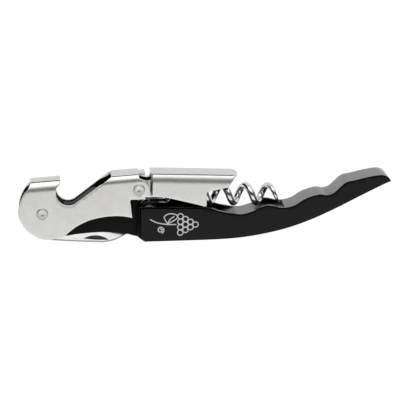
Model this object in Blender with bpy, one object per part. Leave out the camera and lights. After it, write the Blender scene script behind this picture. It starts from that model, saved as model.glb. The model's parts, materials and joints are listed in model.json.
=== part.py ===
"""Two-step waiter's corkscrew, closed, lying on the rear face of its handle.

All shapes are drawn in millimetres from a point just below the main rivet: X runs towards the handle's
tail, Y towards the lever, and Z from the handle's rear face to its front face. The parent empties turn that
into metres, with the origin at the middle of the closed corkscrew's length and height, on the face it lies on.
"""

import math

import bmesh
import bpy
from mathutils import Vector

# Frame
MM = 0.001
MIDDLE_X = 56.19
MIDDLE_Y = 1.72
MID_Z = 6.0

# Pivots, all along Z
LEVER_PIVOT = (0.0, 0.3)
BOOT_PIVOT = (33.1, 9.1)
WORM_PIVOT = (37.0, 0.8)
SPRING_PIN_AT = (27.5, -0.2)

# Handle
HANDLE_THICKNESS = 12.0
GRIP_FRONT_X = 33.6
SHOULDER_RUN = 1.3
RIM_Y = 2.7
REAR_RIM_Y = 3.5
RIM_SETBACK = 0.3
NECK_HALF = 2.2
NECK_END_R = 7.2
NECK_GAP = 0.22
NECK_TOP_Y = 8.2
NECK_STEP_X = 26.4
NECK_LOW_Y = 4.3
POCKET_HALF = 4.5
POCKET_START_X = 33.0
POCKET_FLOOR_Y = -3.3
BLADE_SLOT_HALF = 1.1

# Stamped lever: the arm on the main rivet and the boot on the arm
SHEET = 1.1
ARM_HALF_AT_RIVET = 4.75
ARM_HALF_AT_HINGE = 5.6
FLARE_X = (2.0, 26.0)
ARM_TOP_Y = 11.36
ARM_TOP_SLOPE = 0.0885
EAR_HALF = 3.8
BOOT_HALF = 5.65
JOGGLE_X = (36.95, 37.55)
BOOT_TOP_Y = 14.59
BOOT_TOP_SLOPE = -0.0155
BOOT_WEB_X = 37.15
CLAW_SHOULDER = (1.7, 3.5)
STEP_SHOULDER = (1.2, 2.7)
BOOT_SHOULDER = (1.1, 3.3)
NOTCH_CENTRE = (8.9, 7.25)
NOTCH_R = 4.2
RAMP_ANGLE = 38.0
HINGE_BOSS_R = 3.6
EAR_R = 3.4
TONGUE_HALF = 2.3
TONGUE_END_X = 35.2
TONGUE_LOW_Y = 12.7
WEB_END_X = 33.0
CLAW_X = (-4.15, 6.1)
OVER_Y = 16.0

# Rivets, washers and sleeves
RIVET_SHANK_R = 1.5
RIVET_HOLE_R = 1.65
RIVET_HEAD_R = 2.0
RIVET_HEAD_RISE = 0.35
RIVET_HEAD_GAP = 0.05
RIVET_EDGE = 0.15
RIVET_BEVEL = 0.2
DIMPLE_RIM_R = 0.9
DIMPLE_R = 0.6
AXIS_R = 0.05
PIN_FIT = 0.1
SLEEVE_FIT = 0.15
WASHER_R = 3.1
LEVER_WASHER_Z = (2.3, 3.55)
BOOT_WASHER_Z = (3.95, 4.35)
BOOT_WASHER_R = 2.4
BOOT_SPACER_R = 1.95
BOOT_SPACER_HALF = 2.55

# Worm
WIRE_R = 1.2
COIL_R = 2.95
COIL_PITCH = 8.06
COIL_TURNS = 5
COIL_AXIS_Y = 6.25
COIL_START_X = 42.41
EYE_R = 2.45
WORM_PIN_R = 1.05
WORM_SLEEVE_R = 2.2
WORM_SLEEVE_Z = (1.35, 4.35)
WORM_PIN_Z = (0.4, 11.1)
PIN_HOLE_TOP = 11.3
WIRE_SIDES = 10
TURN_STEPS = 18
TIP_TURNS = 0.6
TIP_SHARE = 0.12

# Knife blade and its spring
BLADE_HALF = 0.7
BLADE_TIP = (30.2, -7.5)
TANG_R = 4.0
NICK_DEPTH = 0.35
SPRING_HALF = 0.75
SPRING_PIN_R = 0.7
BLADE_WASHER_Z = (0.8, 1.0)
BLADE_WASHER_R = 2.9

ROUND_STEPS = 32


def arc(centre, radius, start, end, steps):
    """Points on a circle from one angle to another, in degrees."""
    points = []
    for i in range(steps + 1):
        angle = math.radians(start + (end - start) * i / steps)
        points.append((centre[0] + radius * math.cos(angle), centre[1] + radius * math.sin(angle)))
    return points


def smooth(knots, steps):
    """A Catmull-Rom curve through the knots."""
    padded = [knots[0]] + list(knots) + [knots[-1]]
    points = []
    for k in range(len(knots) - 1):
        a, b, c, d = (Vector(p) for p in padded[k:k + 4])
        for i in range(steps):
            t = i / steps
            bend = (2 * a - 5 * b + 4 * c - d) * t ** 2 + (3 * b - a - 3 * c + d) * t ** 3
            points.append(tuple((2 * b + (c - a) * t + bend) / 2))
    points.append(tuple(knots[-1]))
    return points


def ease(x, start, end):
    """Smooth step from 0 to 1 between two places."""
    t = min(max((x - start) / (end - start), 0.0), 1.0)
    return t * t * (3 - 2 * t)


def arm_half(x):
    """Half the width over the arm's walls, which flare towards the boot."""
    return ARM_HALF_AT_RIVET + (ARM_HALF_AT_HINGE - ARM_HALF_AT_RIVET) * ease(x, *FLARE_X)


def boot_half(x):
    """Half the width over the boot: its ears are set in to fit between the arm's walls."""
    return EAR_HALF + (BOOT_HALF - EAR_HALF) * ease(x, *JOGGLE_X)


def arm_top(x):
    return ARM_TOP_Y + ARM_TOP_SLOPE * x


def arm_shoulder(x):
    """How far the rounded shoulder between web and wall reaches in and down."""
    share = ease(x, *FLARE_X)
    return [claw + (step - claw) * share for claw, step in zip(CLAW_SHOULDER, STEP_SHOULDER)]


def boot_top(x):
    return BOOT_TOP_Y + BOOT_TOP_SLOPE * (x - BOOT_PIVOT[0])


def boot_shoulder(x):
    return BOOT_SHOULDER


def ramp_point(gap, height):
    """Where the opener's ramp, moved outwards by a gap, reaches a height."""
    angle = math.radians(RAMP_ANGLE)
    radius = NOTCH_R + gap
    start = Vector((NOTCH_CENTRE[0] + radius * math.sin(angle), NOTCH_CENTRE[1] - radius * math.cos(angle)))
    return (start.x + (height - start.y) / math.tan(angle), height)


def grip_outline():
    bottom = smooth([(35.0, -9.5), (47.5, -9.15), (60.0, -8.7), (68.3, -8.05), (76.7, -6.65), (85.0, -4.55),
                     (93.3, -1.45), (101.6, 2.5), (109.8, 6.85), (118.0, 11.1), (120.64, 12.25)], 3)
    tip = [(120.05, 13.2), (119.0, 14.0)]
    top = smooth([(117.9, 14.4), (116.4, 14.4), (113.0, 13.85), (107.6, 12.5), (104.6, 11.65), (101.1, 8.4),
                  (99.6, 7.5), (98.1, 7.2), (95.6, 7.45), (91.2, 6.1), (86.8, 3.45), (82.7, 2.75),
                  (77.4, 3.5), (72.3, 1.3), (68.1, 0.35), (61.8, 1.3), (58.7, 2.3), (56.2, RIM_Y)], 4)
    front_x = GRIP_FRONT_X - SHOULDER_RUN
    return bottom + tip + top + [(front_x, RIM_Y), (front_x, -8.2)]


def rear_rim_outline():
    """The rear wall of the worm's slot stands a little higher than the front one, beside the hinge."""
    return [(35.2, 1.5), (36.0, REAR_RIM_Y), (43.0, REAR_RIM_Y), (48.0, 2.6), (48.0, 1.5)]


def neck_outline():
    bottom = smooth([(2.0, -7.4), (7.8, -8.3), (12.3, -7.7), (20.0, -7.05), (27.5, -7.4), (31.7, -8.3),
                     (34.5, -9.0)], 4)
    notch = arc(NOTCH_CENTRE, NOTCH_R + NECK_GAP, RAMP_ANGLE - 90, -165, 12)
    top = [(34.5, NECK_LOW_Y), (NECK_STEP_X + 1, NECK_LOW_Y), (NECK_STEP_X, NECK_TOP_Y),
           ramp_point(NECK_GAP, NECK_TOP_Y)]
    return bottom + top + notch + arc(LEVER_PIVOT, NECK_END_R, 55, 265, 20)


def arm_outline():
    arch = smooth([(7.7, -7.75), (9.5, -6.05), (12.2, -4.0), (16.3, -1.95), (21.0, -0.75), (25.0, -0.35),
                   (28.0, -0.5), (30.95, -1.05)], 3)
    boss = arc(BOOT_PIVOT, HINGE_BOSS_R, -90, 80, 12)
    notch = arc(NOTCH_CENTRE, NOTCH_R, RAMP_ANGLE - 90, -180, 12)
    left, tip = CLAW_X
    claw = [(4.7, 9.1), (5.8, 10.8), (tip, 11.6), (tip, OVER_Y), (left, OVER_Y), (left, 11.3)]
    heel = smooth([(-4.75, 9.1), (-6.25, 7.0), (-7.6, 4.1), (-8.2, 1.2), (-8.1, -0.6), (-7.0, -3.35),
                   (-4.8, -6.2), (-1.15, -8.45), (1.8, -9.05), (4.8, -8.65)], 3)
    right = [(TONGUE_END_X, 12.65), (TONGUE_END_X, OVER_Y), ramp_point(0, OVER_Y)]
    return arch + [(30.15, 5.2), (30.45, 5.45)] + boss + right + notch + claw + heel


def boot_outline():
    ear = arc(BOOT_PIVOT, EAR_R, 60, 265, 13)
    skirt = smooth([(37.7, 6.5), (43.1, 6.05), (47.3, 5.15), (52.0, 4.05), (55.6, 3.1)], 3)
    step = [(56.55, 3.1), (56.55, 8.35), (63.8, 9.8)]
    nose = [(64.8, 11.2), (67.4, 13.9), (67.4, OVER_Y)]
    web_end = [(BOOT_WEB_X, OVER_Y), (BOOT_WEB_X, 12.1)]
    return ear + skirt + step + nose + web_end + [(36.8, 12.1), (36.1, 11.7)]


def blade_outline():
    spine = smooth([(3.0, -10.3), (10.2, -10.75), (18.5, -11.03), (21.8, -11.0), (25.5, -10.1), BLADE_TIP], 5)
    edge = smooth([BLADE_TIP, (25.0, -5.6), (17.0, -5.0), (9.0, -4.9)], 4)
    tang = arc(LEVER_PIVOT, TANG_R, -20, 255, 20)
    return spine + edge[1:] + [(7.6, -4.3)] + tang + [(0.8, -7.6)]


def nick_outline():
    top = arc((18.35, -16.3), 7.75, 51, 122, 8)
    return top + [(18.6, -10.15)]


def spring_outline():
    lower = smooth([(4.5, -0.9), (8.0, -1.0), (14.0, -0.3), (22.0, -1.0), (30.4, -1.6)], 3)
    return lower + [(30.4, 1.1), (4.5, 1.1)]


def pocket_outline():
    """The slot in the grip that takes the worm's eye, its coil and, in the hump, its tip."""
    floor = [(POCKET_START_X, POCKET_FLOOR_Y), (41.2, POCKET_FLOOR_Y), (42.6, -0.8), (61.0, -0.8),
             (73.2, 1.6), (83.9, 1.6)]
    return floor + [(83.9, 9.0), (POCKET_START_X, 9.0)]


def blade_slot_outline():
    return [(-9.0, -14.0), (31.2, -14.0), (31.2, 1.4), (7.5, 1.4), (7.5, 12.0), (-9.0, 12.0)]


def from_faces(name, points, faces, pivot):
    """A mesh object in metres whose origin is its pivot."""
    mesh = bpy.data.meshes.new(name)
    place = Vector((pivot[0], pivot[1], 0.0))
    mesh.from_pydata([(Vector(p) - place) * MM for p in points], [], faces)
    thing = bpy.data.objects.new(name, mesh)
    bpy.context.scene.collection.objects.link(thing)
    bm = bmesh.new()
    bm.from_mesh(mesh)
    bmesh.ops.remove_doubles(bm, verts=bm.verts, dist=0.005 * MM)
    bmesh.ops.recalc_face_normals(bm, faces=bm.faces)
    bm.to_mesh(mesh)
    bm.free()
    return thing


def prism(name, outline, low, high, pivot):
    """An outline in X and Y, extruded along Z."""
    count = len(outline)
    points = [(x, y, low) for x, y in outline] + [(x, y, high) for x, y in outline]
    sides = [(i, (i + 1) % count, (i + 1) % count + count, i + count) for i in range(count)]
    caps = [tuple(reversed(range(count))), tuple(range(count, 2 * count))]
    return from_faces(name, points, sides + caps, pivot)


def loft(name, rings, pivot):
    """A solid through rings that have the same number of points."""
    count = len(rings[0])
    points = [p for ring in rings for p in ring]
    faces = []
    for k in range(len(rings) - 1):
        for i in range(count):
            j = (i + 1) % count
            faces.append((k * count + i, k * count + j, (k + 1) * count + j, (k + 1) * count + i))
    last = (len(rings) - 1) * count
    faces += [tuple(reversed(range(count))), tuple(range(last, last + count))]
    return from_faces(name, points, faces, pivot)


def turned(name, profile, at, pivot):
    """A solid turned about Z: the profile runs from the axis round to the axis, as radius and height."""
    rings = []
    for radius, height in profile:
        ring = [(x, y, height) for x, y in arc(at, radius, 0, 360, ROUND_STEPS)[:-1]]
        rings.append(ring)
    return loft(name, rings, pivot)


def tube(name, at, inner, outer, low, high, pivot):
    """A ring or sleeve about Z."""
    points = []
    for radius, height in ((inner, low), (outer, low), (outer, high), (inner, high)):
        points += [(x, y, height) for x, y in arc(at, radius, 0, 360, ROUND_STEPS)[:-1]]
    faces = []
    for k in range(4):
        after = (k + 1) % 4
        for i in range(ROUND_STEPS):
            j = (i + 1) % ROUND_STEPS
            faces.append((k * ROUND_STEPS + i, k * ROUND_STEPS + j, after * ROUND_STEPS + j,
                          after * ROUND_STEPS + i))
    return from_faces(name, points, faces, pivot)


def rivet(name, at, reach, pivot):
    """A shank through the lever with a low, dimpled head at each end."""
    under = reach + RIVET_HEAD_GAP
    top = reach + RIVET_HEAD_RISE
    low = top - RIVET_EDGE
    half = [(RIVET_SHANK_R, under), (RIVET_HEAD_R, under), (RIVET_HEAD_R, low),
            (RIVET_HEAD_R - RIVET_BEVEL, top), (DIMPLE_RIM_R, top), (DIMPLE_R, low), (AXIS_R, low)]
    lower = [(radius, MID_Z - height) for radius, height in reversed(half)]
    upper = [(radius, MID_Z + height) for radius, height in half]
    return turned(name, lower + upper, at, pivot)


def channel_ring(x, half, top, foot, shoulder):
    """The folded sheet's section at one place: a web, two rounded shoulders and two walls."""
    inset, drop = shoulder
    radius = (inset ** 2 + drop ** 2) / (2 * inset)
    inner = radius - SHEET
    centre = (half - radius, top - drop)
    outer_turn = math.degrees(math.asin(drop / radius))
    inner_turn = math.degrees(math.asin((drop - SHEET) / inner))
    side = [(half, foot)] + arc(centre, radius, 0, outer_turn, 5)
    liner = arc(centre, inner, inner_turn, 0, 5) + [(half - SHEET, foot)]
    outer = side + [(-z, y) for z, y in reversed(side)]
    hollow = [(-z, y) for z, y in reversed(liner)] + liner
    return [(x, y, MID_Z + z) for z, y in outer + hollow]


def channel(name, stations, half, top, shoulder, foot, pivot):
    rings = [channel_ring(x, half(x), top(x), foot, shoulder(x)) for x in stations]
    return loft(name, rings, pivot)


def cut(target, cutter, operation):
    """Adds a Boolean to the target and hides the cutter."""
    modifier = target.modifiers.new(cutter.name, "BOOLEAN")
    modifier.operation = operation
    modifier.object = cutter
    modifier.solver = "EXACT"
    cutter.display_type = "WIRE"
    cutter.hide_render = True
    cutter.parent = target


def bore(target, name, at, radius, low, high, pivot):
    cutter = prism(name, arc(at, radius, 0, 360, ROUND_STEPS)[:-1], low, high, pivot)
    cut(target, cutter, "DIFFERENCE")


def block(name, x_span, y_span, z_span, pivot):
    outline = [(x_span[0], y_span[0]), (x_span[1], y_span[0]), (x_span[1], y_span[1]), (x_span[0], y_span[1])]
    return prism(name, outline, z_span[0], z_span[1], pivot)


def shoulder_wedge(name, side):
    """Slopes the grip's front end down to the neck, on the front (1) or the rear (-1)."""
    face = MID_Z + side * (HANDLE_THICKNESS / 2 + 0.01)
    neck = MID_Z + side * NECK_HALF
    start = GRIP_FRONT_X - SHOULDER_RUN - 0.5
    run = [(start, face), (GRIP_FRONT_X, face), (GRIP_FRONT_X - SHOULDER_RUN, neck), (start, neck)]
    rings = [[(x, y, z) for x, z in run] for y in (-12.0, 8.0)]
    return loft(name, rings, LEVER_PIVOT)


def make_handle():
    body = prism("handle_body", grip_outline(), 0.0, HANDLE_THICKNESS, LEVER_PIVOT)
    cut(body, shoulder_wedge("shoulder_wedge_front", 1), "DIFFERENCE")
    cut(body, shoulder_wedge("shoulder_wedge_rear", -1), "DIFFERENCE")
    neck = prism("neck_tool", neck_outline(), MID_Z - NECK_HALF, MID_Z + NECK_HALF, LEVER_PIVOT)
    cut(body, neck, "UNION")
    cut(body, prism("rear_rim_tool", rear_rim_outline(), RIM_SETBACK, MID_Z - 3.0, LEVER_PIVOT), "UNION")
    pocket = prism("pocket_tool", pocket_outline(), MID_Z - POCKET_HALF, MID_Z + POCKET_HALF, LEVER_PIVOT)
    cut(body, pocket, "DIFFERENCE")
    slot = prism("blade_slot_tool", blade_slot_outline(), MID_Z - BLADE_SLOT_HALF, MID_Z + BLADE_SLOT_HALF,
                 LEVER_PIVOT)
    cut(body, slot, "DIFFERENCE")
    bore(body, "neck_rivet_hole", LEVER_PIVOT, RIVET_HOLE_R, 0.0, HANDLE_THICKNESS, LEVER_PIVOT)
    bore(body, "worm_pin_hole", WORM_PIVOT, WORM_PIN_R + PIN_FIT, -1.0, PIN_HOLE_TOP, LEVER_PIVOT)
    bore(body, "spring_pin_hole", SPRING_PIN_AT, SPRING_PIN_R + PIN_FIT, 0.0, HANDLE_THICKNESS, LEVER_PIVOT)
    return body


def make_arm():
    start, end = FLARE_X
    stations = [-9.0] + [start + (end - start) * k / 10 for k in range(11)] + [37.5]
    arm = channel("lever_arm", stations, arm_half, arm_top, arm_shoulder, -12.0, LEVER_PIVOT)
    cut(arm, prism("arm_shape", arm_outline(), -1.0, 13.0, LEVER_PIVOT), "INTERSECT")
    for side, name in ((1, "tongue_trim_front"), (-1, "tongue_trim_rear")):
        edges = sorted((MID_Z + side * TONGUE_HALF, MID_Z + side * 7.0))
        cut(arm, block(name, (WEB_END_X, 38.0), (TONGUE_LOW_Y, OVER_Y), edges, LEVER_PIVOT), "DIFFERENCE")
    bore(arm, "arm_rivet_hole", LEVER_PIVOT, RIVET_HOLE_R, -1.0, 13.0, LEVER_PIVOT)
    bore(arm, "arm_hinge_hole", BOOT_PIVOT, RIVET_HOLE_R, -1.0, 13.0, LEVER_PIVOT)
    return arm


def make_boot():
    start, end = JOGGLE_X
    stations = [29.0] + [start + (end - start) * k / 4 for k in range(5)] + [69.0]
    boot = channel("lever_boot", stations, boot_half, boot_top, boot_shoulder, 0.0, BOOT_PIVOT)
    cut(boot, prism("boot_shape", boot_outline(), -1.0, 13.0, BOOT_PIVOT), "INTERSECT")
    bore(boot, "boot_hinge_hole", BOOT_PIVOT, RIVET_HOLE_R, -1.0, 13.0, BOOT_PIVOT)
    return boot


def make_blade():
    blade = prism("knife_blade", blade_outline(), MID_Z - BLADE_HALF, MID_Z + BLADE_HALF, LEVER_PIVOT)
    nick = prism("nail_nick_tool", nick_outline(), MID_Z + BLADE_HALF - NICK_DEPTH, MID_Z + 2.0, LEVER_PIVOT)
    cut(blade, nick, "DIFFERENCE")
    bore(blade, "blade_rivet_hole", LEVER_PIVOT, RIVET_HOLE_R, 0.0, HANDLE_THICKNESS, LEVER_PIVOT)
    return blade


def make_blade_washers():
    parts = []
    for side, end in ((1, "front"), (-1, "rear")):
        low, high = sorted(MID_Z + side * z for z in BLADE_WASHER_Z)
        parts.append(tube("blade_washer_" + end, LEVER_PIVOT, RIVET_HOLE_R, BLADE_WASHER_R, low, high,
                          LEVER_PIVOT))
    return parts


def worm_path():
    """The wire's centre line and radius: round the pin, along the coil's underside, then the coil."""
    path = [(x, y, MID_Z, WIRE_R) for x, y in arc(WORM_PIVOT, EYE_R, -5, -270, 14)]
    path.append(((WORM_PIVOT[0] + COIL_START_X) / 2, WORM_PIVOT[1] + EYE_R + 0.02, MID_Z, WIRE_R))
    last = COIL_TURNS * TURN_STEPS
    for i in range(last + 1):
        turn = i / TURN_STEPS
        left = min((last - i) / (TIP_TURNS * TURN_STEPS), 1.0)
        angle = 2 * math.pi * turn
        path.append((COIL_START_X + COIL_PITCH * turn, COIL_AXIS_Y - COIL_R * math.cos(angle),
                     MID_Z - COIL_R * math.sin(angle), WIRE_R * (TIP_SHARE + (1 - TIP_SHARE) * left ** 0.8)))
    return path


def make_worm():
    path = worm_path()
    rings = []
    across = Vector((0.0, 0.0, 1.0))
    for k, (x, y, z, radius) in enumerate(path):
        before = Vector(path[max(k - 1, 0)][:3])
        after = Vector(path[min(k + 1, len(path) - 1)][:3])
        along = (after - before).normalized()
        across = (across - along * across.dot(along)).normalized()
        up = along.cross(across)
        ring = []
        for i in range(WIRE_SIDES):
            angle = 2 * math.pi * i / WIRE_SIDES
            ring.append(Vector((x, y, z)) + (across * math.cos(angle) + up * math.sin(angle)) * radius)
        rings.append(ring)
    return loft("worm", rings, WORM_PIVOT)


def make_root_fittings():
    """Pieces that stay with the handle."""
    parts = [rivet("lever_rivet", LEVER_PIVOT, ARM_HALF_AT_RIVET, LEVER_PIVOT)]
    for side, end in ((1, "front"), (-1, "rear")):
        low, high = sorted(MID_Z + side * z for z in LEVER_WASHER_Z)
        parts.append(tube("lever_washer_" + end, LEVER_PIVOT, RIVET_HOLE_R, WASHER_R, low, high, LEVER_PIVOT))
        low, high = sorted(MID_Z + side * z for z in WORM_SLEEVE_Z)
        parts.append(tube("worm_sleeve_" + end, WORM_PIVOT, WORM_PIN_R + SLEEVE_FIT, WORM_SLEEVE_R, low, high,
                          LEVER_PIVOT))
    pin = arc(WORM_PIVOT, WORM_PIN_R, 0, 360, ROUND_STEPS)[:-1]
    parts.append(prism("worm_pin", pin, *WORM_PIN_Z, LEVER_PIVOT))
    spring = prism("blade_spring", spring_outline(), MID_Z - SPRING_HALF, MID_Z + SPRING_HALF, LEVER_PIVOT)
    bore(spring, "blade_spring_hole", SPRING_PIN_AT, SPRING_PIN_R + PIN_FIT, 0.0, HANDLE_THICKNESS,
         LEVER_PIVOT)
    parts.append(spring)
    peg = arc(SPRING_PIN_AT, SPRING_PIN_R, 0, 360, ROUND_STEPS)[:-1]
    reach = NECK_HALF - PIN_FIT
    parts.append(prism("spring_pin", peg, MID_Z - reach, MID_Z + reach, LEVER_PIVOT))
    return parts


def make_arm_fittings():
    """Pieces that ride on the arm at the boot's hinge."""
    parts = [rivet("boot_rivet", BOOT_PIVOT, ARM_HALF_AT_HINGE, LEVER_PIVOT)]
    parts.append(tube("boot_spacer", BOOT_PIVOT, RIVET_HOLE_R, BOOT_SPACER_R, MID_Z - BOOT_SPACER_HALF,
                      MID_Z + BOOT_SPACER_HALF, LEVER_PIVOT))
    for side, end in ((1, "front"), (-1, "rear")):
        low, high = sorted(MID_Z + side * z for z in BOOT_WASHER_Z)
        parts.append(tube("boot_washer_" + end, BOOT_PIVOT, RIVET_HOLE_R, BOOT_WASHER_R, low, high,
                          LEVER_PIVOT))
    return parts


def material(name, colour, roughness, metallic):
    made = bpy.data.materials.new(name)
    made.use_nodes = True
    shader = made.node_tree.nodes["Principled BSDF"]
    shader.inputs["Base Color"].default_value = (*colour, 1.0)
    shader.inputs["Roughness"].default_value = roughness
    shader.inputs["Metallic"].default_value = metallic
    return made


def empty(name, pivot, parent):
    """A pivot that the pieces of one moving group hang on."""
    thing = bpy.data.objects.new(name, None)
    bpy.context.scene.collection.objects.link(thing)
    start = parent["at"] if parent else (MIDDLE_X, MIDDLE_Y)
    thing.location = ((pivot[0] - start[0]) * MM, (pivot[1] - start[1]) * MM, 0.0)
    thing["at"] = pivot
    thing.parent = parent
    return thing


def assemble(parts, holder, finish):
    for part in parts:
        part.parent = holder
        part.data.materials.append(finish)
        part.data.shade_smooth()
        part.data.set_sharp_from_angle(angle=math.radians(32))


def build():
    for thing in list(bpy.data.objects):
        bpy.data.objects.remove(thing)
    black = material("black_anodised", (0.015, 0.015, 0.016), 0.35, 0.0)
    steel = material("satin_steel", (0.62, 0.61, 0.59), 0.35, 1.0)
    bright = material("bright_steel", (0.75, 0.75, 0.75), 0.12, 1.0)
    spring = material("spring_steel", (0.4, 0.4, 0.41), 0.4, 1.0)
    body = empty("handle_frame", LEVER_PIVOT, None)
    arm = empty("arm_pivot", LEVER_PIVOT, body)
    boot = empty("boot_pivot", BOOT_PIVOT, arm)
    worm = empty("worm_pivot", WORM_PIVOT, body)
    blade = empty("blade_pivot", LEVER_PIVOT, body)
    assemble([make_handle()], body, black)
    assemble(make_root_fittings(), body, spring)
    assemble([make_arm()], arm, steel)
    assemble(make_arm_fittings(), arm, steel)
    assemble([make_boot()], boot, steel)
    assemble([make_worm()], worm, bright)
    assemble([make_blade()], blade, bright)
    assemble(make_blade_washers(), blade, spring)


build()
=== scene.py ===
"""Looks for the two-step waiter's corkscrew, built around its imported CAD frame.

Shapes are drawn in millimetres from a point just below the main rivet, as in the CAD: X towards the tail, Y
towards the lever, and Z from the middle of the handle's thickness towards its front face. place_at() turns
them into metres.
"""

import json
import math

import bmesh
import bpy
import numpy as np
from mathutils import Matrix, Vector, geometry


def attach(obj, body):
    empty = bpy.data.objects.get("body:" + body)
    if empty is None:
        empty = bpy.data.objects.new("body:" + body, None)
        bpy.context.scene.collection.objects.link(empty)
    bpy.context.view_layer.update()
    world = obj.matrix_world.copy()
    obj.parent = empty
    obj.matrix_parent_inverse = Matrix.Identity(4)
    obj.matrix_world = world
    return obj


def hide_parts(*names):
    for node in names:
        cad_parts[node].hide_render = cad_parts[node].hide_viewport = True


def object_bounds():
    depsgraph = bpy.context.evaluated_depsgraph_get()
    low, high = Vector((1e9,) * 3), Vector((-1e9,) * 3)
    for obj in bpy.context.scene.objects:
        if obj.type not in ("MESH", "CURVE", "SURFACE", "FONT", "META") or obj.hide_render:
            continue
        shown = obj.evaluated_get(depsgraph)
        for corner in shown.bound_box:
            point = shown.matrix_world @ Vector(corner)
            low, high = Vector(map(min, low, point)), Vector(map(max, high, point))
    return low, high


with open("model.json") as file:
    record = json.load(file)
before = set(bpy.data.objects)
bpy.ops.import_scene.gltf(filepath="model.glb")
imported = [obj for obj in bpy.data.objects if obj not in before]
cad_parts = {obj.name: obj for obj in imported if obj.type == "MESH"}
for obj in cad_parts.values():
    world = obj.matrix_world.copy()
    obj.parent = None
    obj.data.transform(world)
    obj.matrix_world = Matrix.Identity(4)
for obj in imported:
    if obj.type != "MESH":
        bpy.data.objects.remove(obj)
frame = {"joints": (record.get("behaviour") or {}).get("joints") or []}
cad_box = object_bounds()

MM = 0.001
JOINTS = {joint["name"]: Vector(joint["pos_m"]) for joint in frame["joints"]}
LEVER_PIVOT = (0.0, 0.3)
DATUM = JOINTS["lever_swing"] - Vector((*LEVER_PIVOT, 0.0)) * MM
BOOT_PIVOT = tuple((JOINTS["boot_fold"] - DATUM).xy / MM)
WORM_PIVOT = tuple((JOINTS["worm_swing"] - DATUM).xy / MM)

# Handle
HANDLE_HALF = 6.0
GRIP_FRONT_X = 33.6
SHOULDER_RUN = 1.3
GRIP_EDGE = 0.5
RIM_Y = 2.7
REAR_RIM_X = (35.2, 48.0)
REAR_RIM_Y = 3.5
REAR_RIM_SETBACK = 0.3
SHEEN_START_X = 56.0
NECK_HALF = 2.2
NECK_EDGE = 0.2
NECK_END_R = 7.2
NECK_GAP = 0.22
NECK_TOP_Y = 8.2
NECK_STEP_X = 26.4
NECK_LOW_Y = 4.3
POCKET_HALF = 4.5
BLADE_SLOT_HALF = 1.1
SPRING_PIN_AT = (27.5, -0.2)
SPRING_PIN_R = 0.7
SPRING_PIN_Z = (-2.1, 2.1)
PIN_FIT = 0.1

# Stamped lever
SHEET = 1.1
SHEET_EDGE = 0.14
SHEET_CORNER = 0.35
WEB_BLANK = 4.0
FOLD_BLANK = 4.0
CREASE_BLANK = 0.4
ARM_HALF_AT_RIVET = 4.75
ARM_HALF_AT_HINGE = 5.6
FLARE_X = (2.0, 26.0)
ARM_TOP_Y = 11.36
ARM_TOP_SLOPE = 0.0885
EAR_HALF = 3.8
BOOT_HALF = 5.65
JOGGLE_X = (37.05, 37.4)
BOOT_TOP_Y = 14.59
BOOT_TOP_SLOPE = -0.0155
BOOT_WEB_X = 37.15
NOSE_X = 67.4
NOSE_BOW = 1.25
CLAW_SHOULDER = (1.7, 3.5)
STEP_SHOULDER = (1.2, 2.7)
BOOT_SHOULDER = (1.1, 3.3)
NOTCH_CENTRE = (8.9, 7.25)
NOTCH_R = 4.2
RAMP_ANGLE = 38.0
HINGE_BOSS_R = 3.6
EAR_R = 3.4
TONGUE_HALF = 2.3
TONGUE_END_X = 35.2
WEB_END_X = 33.0
CLAW_X = (-4.15, 6.1)

# Rivets, washers and sleeves
HOLE_R = 1.65
SHANK_R = 1.5

# Worm
WIRE_R = 1.2
COIL_R = 2.95
COIL_PITCH = 8.06
COIL_TURNS = 5
COIL_AXIS_Y = 6.25
COIL_START_X = 42.41
POINT_TURNS = 0.6
EYE_R = 2.45
WORM_PIN_R = 1.05
WORM_PIN_Z = (-5.6, 5.1)

# Knife
BLADE_HALF = 0.7
BLADE_TIP = (30.2, -7.5)
BLADE_HEEL = (9.0, -4.9)
CUT_BOW = 0.75
CUT_FALL = 0.13
CUT_HALF = 0.16
GRIND_DEPTH = 1.3
TEETH = 18
SCALLOP_DEPTH = 0.22
BLADE_EDGE = 0.1
SPINE_BEVEL = 0.42
TANG_R = 4.0
NICK_DEPTH = 0.4

# Rings that come in pairs: name, body, place, radii, and heights from the middle plane
PAIRED_RINGS = (("lever_washer_", "handle", LEVER_PIVOT, (HOLE_R, 3.1), (2.3, 3.55)),
                ("worm_sleeve_", "handle", WORM_PIVOT, (WORM_PIN_R + 0.15, 2.2), (1.35, 4.35)),
                ("boot_washer_", "arm", BOOT_PIVOT, (HOLE_R, 2.4), (3.95, 4.35)),
                ("blade_washer_", "knife", LEVER_PIVOT, (HOLE_R, 2.9), (0.8, 1.0)))

# Ornament
STROKE_WIDTH = 0.42
STROKE_FLATNESS = 0.06

# Camera and floor
FLOOR_GAP = 0.05
FLOOR_REACH = 6.0
CAMERA_TARGET = (56.42, 2.16)
CAMERA_DISTANCE = 600.0
CAMERA_TILT = 15.0
CAMERA_YAW = 5.0
FIELD_WIDTH = 142.9
SENSOR = 36.0


# ---------------------------------------------------------------- outlines

def arc(centre, radius, start, end, steps):
    """Points on a circle from one angle to another, in degrees."""
    points = []
    for i in range(steps + 1):
        angle = math.radians(start + (end - start) * i / steps)
        points.append((centre[0] + radius * math.cos(angle), centre[1] + radius * math.sin(angle)))
    return points


def circle(centre, radius, steps):
    return arc(centre, radius, 0, 360, steps)[:-1]


def smooth(knots, steps):
    """A Catmull-Rom curve through the knots."""
    padded = [knots[0]] + list(knots) + [knots[-1]]
    points = []
    for k in range(len(knots) - 1):
        a, b, c, d = (Vector(p) for p in padded[k:k + 4])
        for i in range(steps):
            t = i / steps
            bend = (2 * a - 5 * b + 4 * c - d) * t ** 2 + (3 * b - a - 3 * c + d) * t ** 3
            points.append(tuple((2 * b + (c - a) * t + bend) / 2))
    points.append(tuple(knots[-1]))
    return points


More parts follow.
